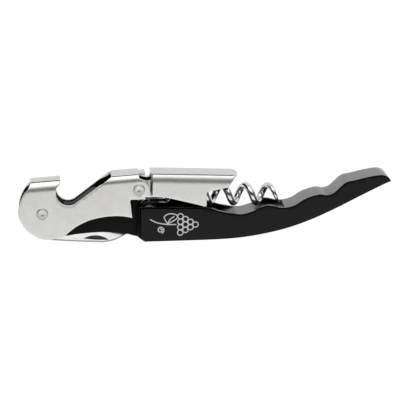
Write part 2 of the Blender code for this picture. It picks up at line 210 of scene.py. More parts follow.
def ease(x, start, end):
    """Smooth step from 0 to 1 between two places."""
    t = min(max((x - start) / (end - start), 0.0), 1.0)
    return t * t * (3 - 2 * t)


def signed_area(loop):
    total = 0.0
    for (x0, y0), (x1, y1) in zip(loop, loop[1:] + loop[:1]):
        total += x0 * y1 - x1 * y0
    return total / 2


def wound(loop, anticlockwise):
    return loop if (signed_area(loop) > 0) == anticlockwise else loop[::-1]


def fillet(loop, radius, least_turn=20.0):
    """Rounds the corners of a closed outline."""
    points = []
    count = len(loop)
    for i in range(count):
        here = Vector(loop[i])
        back = Vector(loop[i - 1]) - here
        ahead = Vector(loop[(i + 1) % count]) - here
        turn = math.pi - back.angle(ahead, math.pi)
        if math.degrees(turn) < least_turn:
            points.append(tuple(here))
            continue
        cut = min(radius * math.tan(turn / 2), back.length * 0.45, ahead.length * 0.45)
        start = here + back.normalized() * cut
        end = here + ahead.normalized() * cut
        for k in range(6):
            t = k / 5
            points.append(tuple(start * (1 - t) ** 2 + here * 2 * t * (1 - t) + end * t ** 2))
    return points


def refine(loop, step, closed=True):
    """Splits long stretches of an outline, and drops points that fall on each other."""
    points = []
    ends = loop[1:] + loop[:1] if closed else loop[1:]
    for start, end in zip(loop, ends):
        a, b = Vector(start), Vector(end)
        if (b - a).length < step * 0.08:
            continue
        pieces = max(1, math.ceil((b - a).length / step))
        points += [tuple(a.lerp(b, i / pieces)) for i in range(pieces)]
    if not closed:
        points.append(tuple(loop[-1]))
    return points


def inset(loop, gap):
    """Moves a closed outline to its left, which is into the material."""
    if gap == 0:
        return list(loop)
    points = []
    count = len(loop)
    for i in range(count):
        here = Vector(loop[i])
        before = (here - Vector(loop[i - 1])).normalized()
        after = (Vector(loop[(i + 1) % count]) - here).normalized()
        left_before = Vector((-before.y, before.x))
        left_after = Vector((-after.y, after.x))
        way = (left_before + left_after).normalized()
        points.append(tuple(here + way * gap / max(way.dot(left_after), 0.5)))
    return points


def off_line(line, spots):
    """How far spots are from an open line of points."""
    points = np.array(spots, float)
    near = np.full(len(points), 1e9)
    for p, q in zip(np.array(line[:-1], float), np.array(line[1:], float)):
        run = q - p
        t = np.clip(((points - p) @ run) / max(run @ run, 1e-12), 0, 1)
        near = np.minimum(near, np.linalg.norm(points - p - t[:, None] * run, axis=1))
    return near


def in_material(loops, spots, margin):
    """Which spots lie inside the outline but in no hole, at least a margin away from every edge."""
    points = np.array(spots, float)
    within = np.zeros(len(points), bool)
    near = np.full(len(points), 1e9)
    for loop in loops:
        a = np.array(loop, float)
        b = np.roll(a, -1, axis=0)
        for p, q in zip(a, b):
            span = (p[1] > points[:, 1]) != (q[1] > points[:, 1])
            rise = q[1] - p[1] if q[1] != p[1] else 1e-12
            at = p[0] + (points[:, 1] - p[1]) * (q[0] - p[0]) / rise
            within ^= span & (points[:, 0] < at)
        near = np.minimum(near, off_line(list(loop) + [loop[0]], points))
    return within & (near > margin)


# ---------------------------------------------------------------- meshes

def place_at(x, y, z):
    """Millimetres from the drawing's datum and the middle plane, to metres in the frame."""
    return DATUM + Vector((x, y, z)) * MM


def make_piece(name, points, faces, indices=None):
    """A mesh object from points in metres, with its faces turned outwards."""
    mesh = bpy.data.meshes.new(name)
    mesh.from_pydata(points, [], faces)
    if indices:
        mesh.polygons.foreach_set("material_index", indices)
    thing = bpy.data.objects.new(name, mesh)
    bpy.context.scene.collection.objects.link(thing)
    bm = bmesh.new()
    bm.from_mesh(mesh)
    bmesh.ops.recalc_face_normals(bm, faces=bm.faces)
    bm.to_mesh(mesh)
    bm.free()
    return thing


def soften_shading(thing, angle=35.0):
    """Smooth shading that keeps flat faces flat."""
    thing.data.shade_smooth()
    thing.data.set_sharp_from_angle(angle=math.radians(angle))
    weighted = thing.modifiers.new("flat_faces", "WEIGHTED_NORMAL")
    weighted.keep_sharp = True
    weighted.weight = 80


def rounded_levels(edge, thickness, extra=()):
    """Rings across a plate's edge, as inset and depth from 0 to 1, with both corners rounded."""
    steps = 4
    corner = []
    for k in range(steps + 1):
        angle = math.pi / 2 * k / steps
        corner.append((edge * (1 - math.sin(angle)), edge * (1 - math.cos(angle)) / thickness))
    return corner + [(0.0, depth) for depth in extra] + [(gap, 1 - depth) for gap, depth in reversed(corner)]


def middle_of(spots, corners):
    return sum((spots[i] for i in corners), Vector((0.0, 0.0))) / len(corners)


def fill_flat(loops, grid, margin):
    """Triangles between flat outlines, and the corner that each point of the outlines became."""
    flat = [p for loop in loops for p in loop]
    edges = []
    start = 0
    for loop in loops:
        count = len(loop)
        edges += [(start + i, start + (i + 1) % count) for i in range(count)]
        start += count
    if grid:
        flat += [p for p, ok in zip(grid, in_material(loops, grid, margin)) if ok]
    made = geometry.delaunay_2d_cdt([Vector(p) for p in flat], edges, [], 0, 1e-7)
    spots, triangles, sources = made[0], made[2], made[3]
    inside = in_material(loops, [middle_of(spots, corners) for corners in triangles], 0.0)
    triangles = [corners for corners, ok in zip(triangles, inside) if ok]
    corner_of = {source: i for i, group in enumerate(sources) for source in group}
    return spots, triangles, corner_of


def shell(name, loops, grid, place, levels, margin=0.3, front_index=None, back_index=0):
    """A plate that fills flat outlines, bent into place by place(u, v, depth).

    The first outline is the outside and the others are holes. The levels are rings round each edge. The
    front's material comes from front_index(u, v), the back's is back_index, and the edges' is 0.
    """
    loops = [wound(loop, k == 0) for k, loop in enumerate(loops)]
    rims = [[inset(loop, gap) for gap, _ in levels] for loop in loops]
    spots, triangles, corner_of = fill_flat([rim[0] for rim in rims], grid, margin)
    points = [place(p[0], p[1], 0.0) for p in spots] + [place(p[0], p[1], 1.0) for p in spots]
    faces = [tuple(corners) for corners in triangles]
    faces += [tuple(reversed([i + len(spots) for i in corners])) for corners in triangles]
    indices = [front_index(*middle_of(spots, corners)) if front_index else 0 for corners in triangles]
    indices += [back_index] * len(triangles)
    start = 0
    for rim in rims:
        count = len(rim[0])
        rows = [[corner_of[start + i] for i in range(count)]]
        for (_, depth), ring in list(zip(levels, rim))[1:-1]:
            rows.append(list(range(len(points), len(points) + count)))
            points += [place(p[0], p[1], depth) for p in ring]
        rows.append([corner_of[start + i] + len(spots) for i in range(count)])
        for upper, lower in zip(rows, rows[1:]):
            for i in range(count):
                j = (i + 1) % count
                faces.append((upper[i], lower[i], lower[j], upper[j]))
        start += count
    indices += [0] * (len(faces) - len(indices))
    return make_piece(name, points, faces, indices)


def flat_place(middle, half):
    """Maps an outline to a flat plate whose middle plane is at a height."""
    return lambda x, y, depth: place_at(x, y, middle + half * (1 - 2 * depth))


def grid_over(loop, step):
    """Staggered points over an outline's box."""
    xs = [p[0] for p in loop]
    ys = [p[1] for p in loop]
    columns = np.arange(min(xs), max(xs), step)
    rows = np.arange(min(ys), max(ys), step)
    return [(x + (k % 2) * step / 2, y) for x in columns for k, y in enumerate(rows)]


def corner_rings(rings, count):
    return [range(k * count, (k + 1) * count) for k in range(rings)]


def band(ring, after):
    """Faces between two closed rings of corners."""
    count = len(ring)
    return [(ring[i], ring[(i + 1) % count], after[(i + 1) % count], after[i]) for i in range(count)]


def loft(name, rings):
    """A closed solid through rings that have the same number of points."""
    corners = corner_rings(len(rings), len(rings[0]))
    faces = []
    for ring, after in zip(corners, corners[1:]):
        faces += band(ring, after)
    faces += [tuple(reversed(corners[0])), tuple(corners[-1])]
    return make_piece(name, [p for ring in rings for p in ring], faces)


def turned(name, profile, at, steps=64):
    """A solid turned about Z through (radius, height) points, from one end of its axis to the other."""
    rings = [[place_at(x, y, z) for x, y in circle(at, radius, steps)] for radius, z in profile]
    return loft(name, rings)


def sleeve(name, at, inner, outer, low, high, bevel=0.06, steps=64):
    """A washer or sleeve about Z with broken edges."""
    section = [(inner, low + bevel), (inner + bevel, low), (outer - bevel, low), (outer, low + bevel),
               (outer, high - bevel), (outer - bevel, high), (inner + bevel, high), (inner, high - bevel)]
    points = []
    for radius, z in section:
        points += [place_at(x, y, z) for x, y in circle(at, radius, steps)]
    corners = corner_rings(len(section), steps)
    faces = []
    for ring, after in zip(corners, corners[1:] + corners[:1]):
        faces += band(ring, after)
    return make_piece(name, points, faces)


def box_tool(name, outline, low, high):
    """A plain prism to cut with."""
    rings = [[place_at(x, y, z) for x, y in wound(list(outline), True)] for z in (low, high)]
    return loft(name, rings)


def carve(target, tools, operation="DIFFERENCE"):
    """Applies Booleans with the tools, and removes them."""
    for tool in tools:
        modifier = target.modifiers.new(tool.name, "BOOLEAN")
        modifier.operation = operation
        modifier.object = tool
        modifier.solver = "EXACT"
    depsgraph = bpy.context.evaluated_depsgraph_get()
    mesh = bpy.data.meshes.new_from_object(target.evaluated_get(depsgraph))
    target.modifiers.clear()
    target.data = mesh
    for tool in tools:
        bpy.data.objects.remove(tool)


# ---------------------------------------------------------------- handle

def grip_outline():
    """The side view: along the bottom, round the tip, and back over the finger waves to the flat rim."""
    bottom = smooth([(35.2, -9.5), (47.5, -9.15), (60.0, -8.7), (68.3, -8.05), (76.7, -6.65), (85.0, -4.55),
                     (93.3, -1.45), (101.6, 2.5), (109.8, 6.85), (118.0, 11.1), (120.6, 12.25)], 12)
    tip = smooth([(120.6, 12.25), (120.0, 13.2), (119.0, 14.0), (117.9, 14.4)], 5)[1:-1]
    top = smooth([(117.9, 14.4), (116.4, 14.4), (113.0, 13.85), (107.6, 12.5), (104.6, 11.65), (101.1, 8.4),
                  (99.6, 7.5), (98.1, 7.2), (95.6, 7.45), (91.2, 6.1), (86.8, 3.45), (82.7, 2.75),
                  (77.4, 3.5), (72.3, 1.3), (68.1, 0.35), (61.8, 1.3), (58.7, 2.3), (56.2, RIM_Y)], 12)
    return bottom + tip + top + [(GRIP_FRONT_X, RIM_Y), (GRIP_FRONT_X, -8.2)]


def grip_place(x, y, depth):
    """The grip's front end slopes in to the neck."""
    z = HANDLE_HALF * (1 - 2 * depth)
    slope = SHOULDER_RUN * min((HANDLE_HALF - abs(z)) / (HANDLE_HALF - NECK_HALF), 1.0)
    near_front = 1.0 - ease(x, GRIP_FRONT_X, GRIP_FRONT_X + 1.5)
    return place_at(x - slope * near_front, y, z)


def ramp_point(gap, height):
    """Where the opener's ramp, moved outwards by a gap, reaches a height."""
    angle = math.radians(RAMP_ANGLE)
    radius = NOTCH_R + gap
    start = Vector((NOTCH_CENTRE[0] + radius * math.sin(angle), NOTCH_CENTRE[1] - radius * math.cos(angle)))
    return (start.x + (height - start.y) / math.tan(angle), height)


def neck_outline():
    """The neck keeps a gap to the opener's notch and ramp, and ends in an arc about the rivet."""
    bottom = smooth([(2.0, -7.4), (7.8, -8.3), (12.3, -7.7), (20.0, -7.05), (27.5, -7.4), (31.7, -8.3),
                     (34.5, -9.0)], 8)
    notch = arc(NOTCH_CENTRE, NOTCH_R + NECK_GAP, RAMP_ANGLE - 90, -165, 24)
    top = [(34.5, NECK_LOW_Y), (NECK_STEP_X + 1, NECK_LOW_Y), (NECK_STEP_X, NECK_TOP_Y),
           ramp_point(NECK_GAP, NECK_TOP_Y)]
    return bottom + top + notch + arc(LEVER_PIVOT, NECK_END_R, 55, 265, 40)


def pocket_outline():
    """The slot in the grip that takes the worm's eye, its coil and, in the hump, its tip."""
    floor = [(33.0, -3.3), (41.2, -3.3), (42.6, -0.8), (61.0, -0.8), (73.2, 1.6), (83.9, 1.6)]
    return fillet(floor + [(83.9, 9.0), (33.0, 9.0)], 1.0)


def near_rear_rim(x):
    return REAR_RIM_X[0] - 0.2 < x < REAR_RIM_X[1] + 0.2


def rear_rim_outline():
    """The rear wall of the slot stands higher beside the hinge."""
    start, end = REAR_RIM_X
    return [(start, 1.5), (start + 0.8, REAR_RIM_Y), (43.0, REAR_RIM_Y), (end, 2.6), (end, 1.5)]


def mark_handle(grip, outline):
    """Material 1: neck and rims beside the slot. 2: other edges, with a painted sheen. 3: broken corners,
    painted shade.
    """
    centres = [(face.center - DATUM) / MM for face in grip.data.polygons]
    off = off_line(outline + outline[:1], [tuple(centre.xy) for centre in centres])
    for face, centre, gap in zip(grip.data.polygons, centres, off):
        rear_rim = near_rear_rim(centre.x) and abs(centre.z) > 3 and centre.y > RIM_Y + 0.02
        flat_rim = centre.x < SHEEN_START_X and abs(centre.y - RIM_Y) < 0.02
        if centre.x < GRIP_FRONT_X - 0.1 or rear_rim or flat_rim:
            face.material_index = 1
        elif gap < 0.02 and abs(face.normal.z) < 0.2:
            face.material_index = 2
        elif abs(centre.z) > HANDLE_HALF - GRIP_EDGE and 0.2 < abs(face.normal.z) < 0.97:
            face.material_index = 3
        else:
            face.material_index = 0


def handle_cuts():
    """The worm's slot, the knife's slot, and the holes for the rivet and both pins."""
    knife_slot = [(-9.0, -14.0), (31.2, -14.0), (31.2, 1.4), (7.5, 1.4), (7.5, 12.0), (-9.0, 12.0)]
    worm_pin = circle(WORM_PIVOT, WORM_PIN_R + PIN_FIT, 40)
    spring_pin = circle(SPRING_PIN_AT, SPRING_PIN_R + PIN_FIT, 32)
    return [box_tool("pocket_tool", pocket_outline(), -POCKET_HALF, POCKET_HALF),
            box_tool("slot_tool", knife_slot, -BLADE_SLOT_HALF, BLADE_SLOT_HALF),
            box_tool("rivet_tool", circle(LEVER_PIVOT, HOLE_R, 48), -4.0, 4.0),
            box_tool("pin_tool", worm_pin, -7.0, HANDLE_HALF - 0.7),
            box_tool("peg_tool", spring_pin, -4.0, 4.0)]


def make_grip(outline):
    neck_share = NECK_HALF / HANDLE_HALF
    levels = rounded_levels(GRIP_EDGE, 2 * HANDLE_HALF,
                            extra=((1 - neck_share) / 2, 0.5, (1 + neck_share) / 2))
    return shell("handle_body_skin", [outline], grid_over(outline, 2.2), grip_place, levels, margin=0.8)


def make_neck():
    outline = refine(fillet(neck_outline(), 0.4), 0.5)
    levels = rounded_levels(NECK_EDGE, 2 * NECK_HALF)
    return shell("neck_tool", [outline], grid_over(outline, 2.0), flat_place(0.0, NECK_HALF), levels)


def make_handle():
    outline = refine(fillet(grip_outline(), 0.5), 0.5)
    handle = make_grip(outline)
    rear_rim = box_tool("rear_rim_tool", rear_rim_outline(), REAR_RIM_SETBACK - HANDLE_HALF, -3.0)
    carve(handle, [make_neck(), rear_rim], "UNION")
    carve(handle, handle_cuts())
    mark_handle(handle, outline)
    soften_shading(handle, 32.0)
    return handle


# ---------------------------------------------------------------- stamped lever

def arm_half(x):
    """Half the arm's width, which grows from the rivet to the hinge."""
    return ARM_HALF_AT_RIVET + (ARM_HALF_AT_HINGE - ARM_HALF_AT_RIVET) * ease(x, *FLARE_X)


def boot_half(x):
    """The ears stand closer together than the walls, and the joggle leads from one to the other."""
    return EAR_HALF + (BOOT_HALF - EAR_HALF) * ease(x, *JOGGLE_X)


def arm_top(x):
    return ARM_TOP_Y + ARM_TOP_SLOPE * x


def boot_top(x):
    return BOOT_TOP_Y + BOOT_TOP_SLOPE * (x - BOOT_PIVOT[0])


def arm_shoulder(x):
    """How far the rounded shoulder between web and wall reaches in and down."""
    share = ease(x, *FLARE_X)
    return [claw + (step - claw) * share for claw, step in zip(CLAW_SHOULDER, STEP_SHOULDER)]


def boot_shoulder(x):
    return BOOT_SHOULDER


class Fold:
    """The rounded shoulder from web to wall: maps the flat blank to the folded sheet and back.

    On the blank, v is 0 on the lever's middle line, WEB_BLANK at the end of the flat web, FOLD_BLANK more at
    the foot of the shoulder, and then grows with the distance down the front wall. The rear has negative v.
    """

    def __init__(self, half, top, shoulder):
        self.half = half
        self.top = top
        self.shoulder = shoulder

    def blank(self, x, y, side):
        """A point of the side view, on the blank."""
        below = self.top(x) - y
        inset, drop = self.shoulder(x)
        if below >= drop:
            return (x, side * (WEB_BLANK + FOLD_BLANK + below - drop))
        radius = (inset ** 2 + drop ** 2) / (2 * inset)
        share = math.asin((drop - below) / radius) / math.asin(drop / radius)
        return (x, side * (WEB_BLANK + FOLD_BLANK * (1 - share)))

    def skin(self, x, s, thick):
        """Reach from the middle plane and height of the outer skin, or of the one a thickness inside it."""
        inset, drop = self.shoulder(x)
        radius = (inset ** 2 + drop ** 2) / (2 * inset)
        inner = radius - thick
        share = min(max(1 - s / FOLD_BLANK, 0.0), 1.0)
        turn = math.asin((drop - thick) / inner) * share
        reach = self.half(x) - radius + inner * math.cos(turn)
        height = self.top(x) - drop + inner * math.sin(turn) - max(s - FOLD_BLANK, 0.0)
        return reach * min(1 + s / WEB_BLANK, 1.0), height

    def place(self, x, v, depth):
        side = 1.0 if v >= 0 else -1.0
        s = abs(v) - WEB_BLANK
        outer = self.skin(x, s, 0.0)
        inner = self.skin(x, s, SHEET)
        z = outer[0] + (inner[0] - outer[0]) * depth
        y = outer[1] + (inner[1] - outer[1]) * depth
        return place_at(x, y, side * z)

    def grid(self, start, end, foot):
        """Points on the blank, close together over the shoulder."""
        rows = [WEB_BLANK * k / 3 for k in range(4)]
        rows += [WEB_BLANK + CREASE_BLANK]
        rows += [WEB_BLANK + FOLD_BLANK * k / 9 for k in range(1, 10)]
        rows += list(np.arange(WEB_BLANK + FOLD_BLANK + 0.8, foot, 1.2))
        rows = sorted(set(rows + [-v for v in rows]))
        columns = np.arange(start, end, 0.8)
        return [(x, v) for x in columns for v in rows]


def sheet_index(u, v):
    """The web and the tight bend at its edge are painted darker than the walls: painted shade."""
    if abs(v) < WEB_BLANK:
        return 3
    return 2 if abs(v) < WEB_BLANK + CREASE_BLANK else 0


def mirrored(path):
    """The rear half of a blank, so that it carries on from the front half."""
    return [(x, -v) for x, v in reversed(path)]


def rivet_holes(fold, pivots):
    """A hole in each wall at every pivot, on the blank."""
    holes = []
    for side in (1, -1):
        for pivot in pivots:
            holes.append([fold.blank(x, y, side) for x, y in circle(pivot, HOLE_R, 36)])
    return holes


def arm_side():
    """The front wall in the side view, from the claw down the heel and along the arch to the hinge."""
    heel = smooth([(-4.75, 9.1), (-6.25, 7.0), (-7.6, 4.1), (-8.2, 1.2), (-8.1, -0.6), (-7.0, -3.35),
                   (-4.8, -6.2), (-1.15, -8.45), (1.8, -9.05), (4.8, -8.65)], 8)
    arch = smooth([(7.7, -7.75), (9.5, -6.05), (12.2, -4.0), (16.3, -1.95), (21.0, -0.75), (25.0, -0.35),
                   (28.0, -0.5), (30.95, -1.05)], 8)
    boss = arc(BOOT_PIVOT, HINGE_BOSS_R, -90, 78, 30)
    side = [(CLAW_X[0], 10.7)] + heel + arch + [(30.15, 5.2), (30.45, 5.45)] + boss
    return refine(side + [(WEB_END_X + 0.1, 13.2)], 0.4, closed=False)


def arm_outline(fold):
    """The arm's blank, with the tongue that reaches past the hinge."""
    front = [fold.blank(x, y, 1) for x, y in arm_side()]
    front = [(CLAW_X[0], WEB_BLANK - 0.2)] + front + [(WEB_END_X, WEB_BLANK - 0.2)]
    web_half = arm_half(WEB_END_X) - arm_shoulder(WEB_END_X)[0]
    tongue_v = TONGUE_HALF / web_half * WEB_BLANK
    front += [(WEB_END_X, tongue_v), (TONGUE_END_X, tongue_v)]
    return refine(fillet(front + mirrored(front), SHEET_CORNER), 0.45)


def notch_outline(fold):
    """The cap opener's notch on the blank, from the claw round the bend and up the ramp."""
    ramp_x = ramp_point(0, arm_top(23.4))[0]
    side = [(CLAW_X[1], 11.75), (5.8, 10.8), (4.7, 9.1)]
    side += arc(NOTCH_CENTRE, NOTCH_R, -180, RAMP_ANGLE - 90, 30)
    side = refine(side + [(ramp_x - 0.15, arm_top(ramp_x) - 0.15)], 0.35, closed=False)
    front = [fold.blank(x, y, 1) for x, y in side]
    front = [(CLAW_X[1], WEB_BLANK - 0.3)] + front + [(ramp_x, WEB_BLANK - 0.3)]
    return refine(fillet(front + mirrored(front), SHEET_CORNER), 0.4)


def make_arm():
    fold = Fold(arm_half, arm_top, arm_shoulder)
    loops = [arm_outline(fold), notch_outline(fold)] + rivet_holes(fold, (LEVER_PIVOT, BOOT_PIVOT))
    arm = shell("lever_arm_skin", loops, fold.grid(-8.8, 36.0, 30.0), fold.place,
                rounded_levels(SHEET_EDGE, SHEET), front_index=sheet_index, back_index=1)
    soften_shading(arm)
    return arm


def boot_outline(fold):
    """The second link's blank: the ear, the skirt, the step and the bowed end of the web."""
    ear = arc(BOOT_PIVOT, EAR_R, 60, 265, 40)
    skirt = smooth([(37.7, 6.5), (43.1, 6.05), (47.3, 5.15), (52.0, 4.05), (55.6, 3.1)], 8)
    side = [(BOOT_WEB_X, 13.2), (BOOT_WEB_X, 12.1), (36.8, 12.1), (36.1, 11.7)] + ear + skirt
    side += [(56.55, 3.1), (56.55, 8.35), (60.0, 8.95), (63.8, 9.8), (64.8, 11.2), (65.9, 13.3)]
    front = [fold.blank(x, y, 1) for x, y in refine(side, 0.35, closed=False)]
    nose = [(NOSE_X - NOSE_BOW * (v / WEB_BLANK) ** 2, v) for v in (3.9, 3.3, 2.6, 1.8, 1.0, 0.3)]
    front = [(BOOT_WEB_X, WEB_BLANK - 0.2)] + front + nose
    return refine(fillet(front + mirrored(front), SHEET_CORNER), 0.45)


def make_boot():
    fold = Fold(boot_half, boot_top, boot_shoulder)
    loops = [boot_outline(fold)] + rivet_holes(fold, (BOOT_PIVOT,))
    boot = shell("lever_boot_skin", loops, fold.grid(29.0, 68.0, 18.0), fold.place,
                 rounded_levels(SHEET_EDGE, SHEET), front_index=sheet_index, back_index=1)
    soften_shading(boot)
    return boot


# ---------------------------------------------------------------- rivets, pins and washers

def make_rivet(name, at, reach):
    """A low formed head at each end, with a ring groove and a shallow dimple."""
    top = reach + 0.35
    half = [(SHANK_R, reach + 0.05), (1.9, reach + 0.05), (1.98, reach + 0.1), (1.95, reach + 0.2),
            (1.85, top - 0.05), (1.7, top), (1.55, top), (1.48, top - 0.09), (1.38, top - 0.09), (1.3, top),
            (0.9, top), (0.6, top - 0.05), (0.3, top - 0.09), (0.03, top - 0.1)]
    lower = [(radius, -z) for radius, z in reversed(half)]
    return turned(name, lower + half, at)


def make_pin(name, at, radius, low, high):
    """A plain pin with broken ends."""
    profile = [(0.03, low), (radius - 0.12, low), (radius, low + 0.12), (radius, high - 0.12),
               (radius - 0.12, high), (0.03, high)]
    return turned(name, profile, at, 40)


def make_blade_spring():
    """The flat spring that lies in the neck's slot above the knife."""
    lower = smooth([(4.5, -0.9), (8.0, -1.0), (14.0, -0.3), (22.0, -1.0), (30.4, -1.6)], 10)
    outline = refine(fillet(lower + [(30.4, 1.1), (4.5, 1.1)], 0.3), 0.5)
    hole = circle(SPRING_PIN_AT, SPRING_PIN_R + PIN_FIT, 32)
    return shell("blade_spring_skin", [outline, hole], None, flat_place(0.0, 0.75), rounded_levels(0.1, 1.5))


# ---------------------------------------------------------------- knife

def blade_spine():
    return smooth([(3.0, -10.3), (10.2, -10.75), (18.5, -11.03), (21.8, -11.0), (25.5, -10.1), BLADE_TIP], 12)


def blade_outline():
    """The back, the point, the bowed cutting edge with its scallops, and the round tang."""
    tip = Vector(BLADE_TIP)
    heel = Vector(BLADE_HEEL)
    edge = []
    steps = TEETH * 6
    for k in range(1, steps + 1):
        t = k / steps
        along = tip.lerp(heel, t)
        bow = CUT_BOW * math.sin(math.pi * t)
        scallop = SCALLOP_DEPTH * abs(math.sin(math.pi * TEETH * t)) * ease(t, 0.05, 0.15)
        edge.append((along.x, along.y + bow - scallop))
    tang = arc(LEVER_PIVOT, TANG_R, -20, 255, 50)
    return blade_spine() + edge + [(7.6, -4.3)] + tang + [(0.8, -7.6)]


def nick_outline(grow):
    """A crescent, grown by an amount."""
    top = arc((18.3, -16.3), 7.75 + grow, 52 - grow * 2, 122 + grow * 2, 30)
    low = smooth([top[-1], (18.6, -10.15 - grow), top[0]], 12)
    return top + low[1:-1]


def blade_place(x, y, depth):
    """Hollow-ground towards the cutting edge."""
    past_heel = max(x - BLADE_HEEL[0], 0.0)
    share = min(past_heel / (BLADE_TIP[0] - BLADE_HEEL[0]), 1.0)
    edge_y = BLADE_HEEL[1] - CUT_FALL * past_heel + CUT_BOW * math.sin(math.pi * share)
    grind = ease(edge_y - y, -0.1, GRIND_DEPTH) if x > BLADE_HEEL[0] - 1.0 else 1.0
    half = CUT_HALF + (BLADE_HALF - CUT_HALF) * grind
    return place_at(x, y, half * (1 - 2 * depth))


def mark_blade(blade):
    """The nick's floor and walls are painted dark as shade; a narrow strip along the back is painted grey as
    a bevel's shade.
    """
    centres = [(face.center - DATUM) / MM for face in blade.data.polygons]
    off = off_line(blade_spine(), [tuple(centre.xy) for centre in centres])
    for face, centre, gap in zip(blade.data.polygons, centres, off):
        sunk = 0.03 < BLADE_HALF - centre.z < NICK_DEPTH * 1.2
        if sunk and 11.5 < centre.x < 24.5 and -10.7 < centre.y < -7.5:
            face.material_index = 1
        elif gap < SPINE_BEVEL:
            face.material_index = 2


def make_blade():
    outline = refine(fillet(blade_outline(), 0.2, 40.0), 0.35)
    loops = [outline, circle(LEVER_PIVOT, HOLE_R, 48)]
    levels = rounded_levels(BLADE_EDGE, 2 * BLADE_HALF)
    bevel_line = inset(wound(outline, True), BLADE_EDGE + SPINE_BEVEL)
    grid = grid_over(outline, 0.55) + bevel_line
    blade = shell("knife_blade_skin", loops, grid, blade_place, levels, margin=SPINE_BEVEL * 0.97)
    rings = []
    for grow, z in ((-0.3, BLADE_HALF - NICK_DEPTH), (0.0, BLADE_HALF + 0.02), (0.0, BLADE_HALF + 0.5)):
        rings.append([place_at(x, y, z) for x, y in wound(nick_outline(grow), True)])
    carve(blade, [loft("nick_tool", rings)])
    mark_blade(blade)
    soften_shading(blade, 30.0)
    return blade


# ---------------------------------------------------------------- worm

def worm_path():
    """The wire's centre line and radius: round the pin, along the coil's underside, then the coil."""
    path = [(x, y, 0.0, WIRE_R) for x, y in arc(WORM_PIVOT, EYE_R, -5, -270, 40)]
    start = Vector((WORM_PIVOT[0], WORM_PIVOT[1] + EYE_R))
    end = Vector((COIL_START_X, COIL_AXIS_Y - COIL_R))
    for k in range(1, 8):
        point = start.lerp(end, k / 8)
        path.append((point.x, point.y, 0.0, WIRE_R))
    steps = 64
    last = COIL_TURNS * steps
    for i in range(last + 1):
        turn = i / steps
        left = min((last - i) / (POINT_TURNS * steps), 1.0)
        angle = 2 * math.pi * turn
        path.append((COIL_START_X + COIL_PITCH * turn, COIL_AXIS_Y - COIL_R * math.cos(angle),
                     -COIL_R * math.sin(angle), WIRE_R * (0.08 + 0.92 * left ** 0.8)))
    return path


def make_worm():
    """The wire's skin. Its eye, deep in the slot, is painted darker than the coil: painted shade from the
    slot.
    """
    path = worm_path()
    sides = 28
    rings = []
    across = Vector((0.0, 0.0, 1.0))
    for k, (x, y, z, radius) in enumerate(path):
        before = Vector(path[max(k - 1, 0)][:3])
        after = Vector(path[min(k + 1, len(path) - 1)][:3])
        along = (after - before).normalized()
        across = (across - along * across.dot(along)).normalized()
        up = along.cross(across)
        ring = []
        for i in range(sides):
            angle = 2 * math.pi * i / sides
            spot = Vector((x, y, z)) + (across * math.cos(angle) + up * math.sin(angle)) * radius
            ring.append(place_at(*spot))
        rings.append(ring)
    worm = loft("worm_skin", rings)
    shade_end = place_at(WORM_PIVOT[0] + EYE_R + 1.0, 0, 0).x
    for face in worm.data.polygons:
        face.material_index = 1 if face.center.x < shade_end else 0
    soften_shading(worm, 50.0)
    return worm


# ---------------------------------------------------------------- ornament

def stroke(points, width, name):
    """A thin, nearly flat line that stands for engraving on the handle's front face."""
    curve = bpy.data.curves.new(name, "CURVE")
    curve.dimensions = "3D"
    spline = curve.splines.new("POLY")
    spline.points.add(len(points) - 1)
    for spot, (x, y) in zip(spline.points, points):
        spot.co = (*place_at(x, y, HANDLE_HALF - 0.02), 1.0)
    curve.bevel_depth = width / 2 * MM
    curve.bevel_resolution = 2
    curve.use_fill_caps = True
    thing = bpy.data.objects.new(name, curve)
    bpy.context.scene.collection.objects.link(thing)
    mesh = bpy.data.meshes.new_from_object(thing)
    bpy.data.objects.remove(thing)
    level = place_at(0, 0, HANDLE_HALF).z
    for vertex in mesh.vertices:
        vertex.co.z = level + (vertex.co.z - level) * STROKE_FLATNESS
    return mesh


def ornament_lines():
    """A plain grape bunch with a leaf, a stem and a tendril, in outline."""
    bunch = Vector((47.5, -3.2))
    row_step = 1.75
    grape_step = 1.95
    lines = []
    for row, count in enumerate((4, 3, 2, 1)):
        for k in range(count):
            spot = (bunch.x + row * row_step, bunch.y + (k - (count - 1) / 2) * grape_step)
            lines.append(arc(spot, 0.95, 0, 360, 28))
    stem = smooth([(37.0, -1.4), (39.5, -2.6), (43.0, -3.2), (46.1, -3.2)], 10)
    tendril = []
    for k in range(46):
        turn = k / 45
        radius = 1.25 * (1 - 0.75 * turn)
        angle = math.radians(-70 + 560 * turn)
        tendril.append((40.7 + radius * math.cos(angle), -5.2 + radius * math.sin(angle)))
    leaf = smooth([(43.1, -3.0), (41.9, -0.6), (43.7, 0.6), (46.1, 0.2), (46.1, -1.2), (43.1, -3.0)], 8)
    vein = smooth([(43.1, -3.0), (43.9, -1.4), (45.4, -0.3)], 6)
    return lines + [stem, tendril, leaf, vein]


def make_ornament():
    bm = bmesh.new()
    for k, line in enumerate(ornament_lines()):
        mesh = stroke(line, STROKE_WIDTH, f"stroke_{k}")
        bm.from_mesh(mesh)
        bpy.data.meshes.remove(mesh)
    mesh = bpy.data.meshes.new("handle_ornament")
    bm.to_mesh(mesh)
    bm.free()
    thing = bpy.data.objects.new("handle_ornament", mesh)
    bpy.context.scene.collection.objects.link(thing)
    return thing


# ---------------------------------------------------------------- materials

